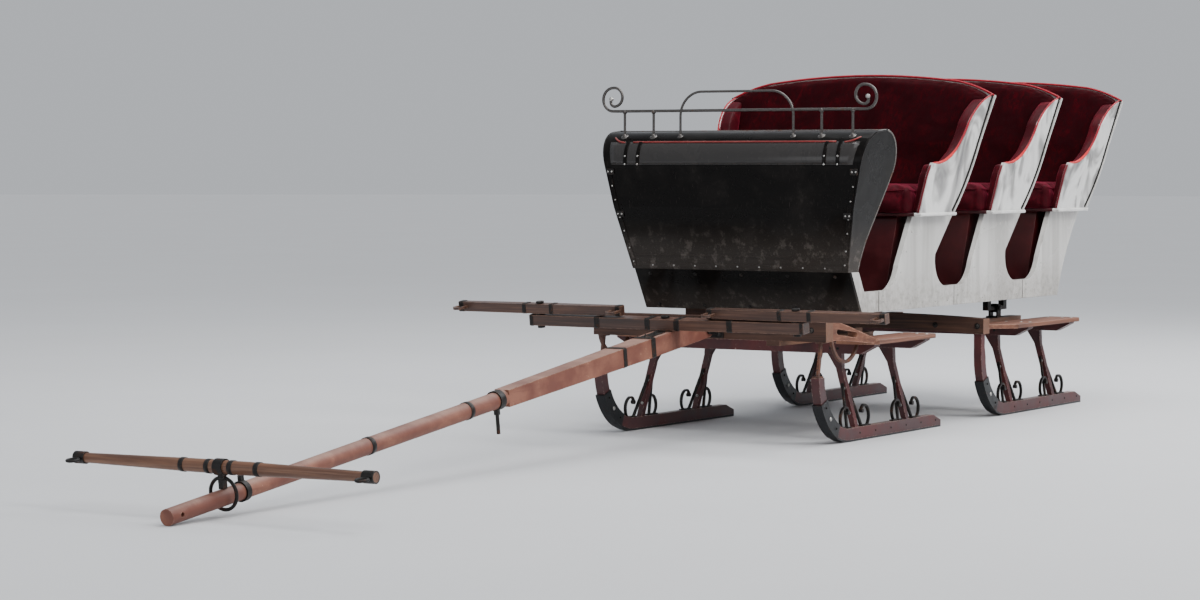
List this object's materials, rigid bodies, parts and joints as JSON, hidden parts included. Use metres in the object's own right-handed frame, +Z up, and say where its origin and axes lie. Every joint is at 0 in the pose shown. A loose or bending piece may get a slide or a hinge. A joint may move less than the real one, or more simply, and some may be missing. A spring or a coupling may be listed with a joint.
{
  "type": "horse drawn sleigh",
  "caption": "Open horse drawn sleigh with rows of upholstered seats in a panelled body on two bobs, a curved dash with a rail, and a draught pole with pulling gear.",
  "frame": {"origin": "on the ground under the middle of the sleigh and its lowered pole", "axes": "+X forwards towards the horses, +Y to the left, +Z up"},
  "size_m": [6.1702, 1.9312, 1.49],
  "materials": {
    "panel_white": "white gloss carriage paint on wood panels",
    "panel_black": "black gloss carriage paint on wood",
    "dash_black": "black gloss enamel on sheet iron",
    "rail_iron": "black enamel on round iron",
    "floor_wood": "dark worn boards",
    "box_maroon": "dark maroon satin paint",
    "runner_maroon": "maroon gloss paint, worn at the edges",
    "step_wood": "thin worn red-brown paint over pale boards",
    "beam_brown": "brown stained beam with worn ends",
    "iron_black": "black paint on forged iron, rust in the corners",
    "shoe_steel": "steel shoe, bright on the sole and dark on the sides",
    "pole_red": "faded red-brown paint on a wood pole",
    "gear_dark": "dark brown oiled wood",
    "yoke_brown": "brown varnished wood",
    "velvet_maroon": "deep maroon plush",
    "velvet_dark": "very dark maroon plush"
  },
  "bodies": {
    "sleigh_body": {"floor_boards": "floor_wood", "front_panel": "panel_black", "side_panel_left": "panel_white", "side_panel_right": "panel_white", "tailboard": "panel_white", "dash": "dash_black", "dash_rail": "rail_iron", "seat_boxes": "box_maroon", "seat_boards": "panel_white", "seat_ends": "panel_white", "seat_shells": "panel_white", "cushion_1": "velvet_maroon", "cushion_2": "velvet_maroon", "cushion_3": "velvet_maroon", "back_pad_1": "velvet_dark", "back_pad_2": "velvet_dark", "back_pad_3": "velvet_dark", "arm_pads": "velvet_dark", "body_bolster": "beam_brown", "turntable_upper_ring": "iron_black", "king_pin": "iron_black", "rear_rocker_brackets": "iron_black"},
    "front_bob": {"front_runners": "runner_maroon", "front_runner_shoes": "shoe_steel", "front_bench_frames": "runner_maroon", "front_runner_irons": "iron_black", "front_step_boards": "step_wood", "front_bearers": "beam_brown", "front_beam": "beam_brown", "front_end_irons": "iron_black", "pole_lugs": "iron_black", "turntable_lower_ring": "iron_black"},
    "rear_bob": {"rear_runners": "runner_maroon", "rear_runner_shoes": "shoe_steel", "rear_bench_frames": "runner_maroon", "rear_runner_irons": "iron_black", "rear_step_boards": "step_wood", "rear_bearers": "beam_brown", "rear_end_beam": "beam_brown", "rear_rocker_lugs": "iron_black"},
    "pole": {"pole": "pole_red", "pole_irons": "iron_black"},
    "evener": {"evener": "gear_dark", "evener_pins": "iron_black"},
    "singletree_left": {"singletree_left": "gear_dark"},
    "singletree_right": {"singletree_right": "gear_dark"},
    "neck_yoke": {"neck_yoke_bar": "yoke_brown", "neck_yoke_irons": "iron_black"}
  },
  "joints": [
    {"name": "front_bob_steer", "type": "hinge", "parent": "sleigh_body", "child": "front_bob", "pos_m": [-0.8105, 0, 0.45], "axis": [0, 0, 1], "range_deg": [-25, 25]},
    {"name": "rear_bob_rock", "type": "hinge", "parent": "sleigh_body", "child": "rear_bob", "pos_m": [-2.3555, 0, 0.452], "axis": [0, 1, 0], "range_deg": [-3, 12]},
    {"name": "pole_lift", "type": "hinge", "parent": "front_bob", "child": "pole", "pos_m": [-0.1905, 0, 0.455], "axis": [0, -1, 0], "range_deg": [0, 35]},
    {"name": "evener_pivot", "type": "hinge", "parent": "pole", "child": "evener", "pos_m": [0.06731, 0, 0.42128], "axis": [0.1297, 0, 0.9916], "range_deg": [-15, 15]},
    {"name": "singletree_left_pivot", "type": "hinge", "parent": "evener", "child": "singletree_left", "pos_m": [0.06731, 0.58, 0.42128], "axis": [0.1297, 0, 0.9916], "range_deg": [-20, 20]},
    {"name": "singletree_right_pivot", "type": "hinge", "parent": "evener", "child": "singletree_right", "pos_m": [0.06731, -0.58, 0.42128], "axis": [0.1297, 0, 0.9916], "range_deg": [-20, 20]},
    {"name": "neck_yoke_swing", "type": "hinge", "parent": "pole", "child": "neck_yoke", "pos_m": [2.804, 0, 0.06332], "axis": [0.1297, 0, 0.9916], "range_deg": [-20, 20]}
  ]
}
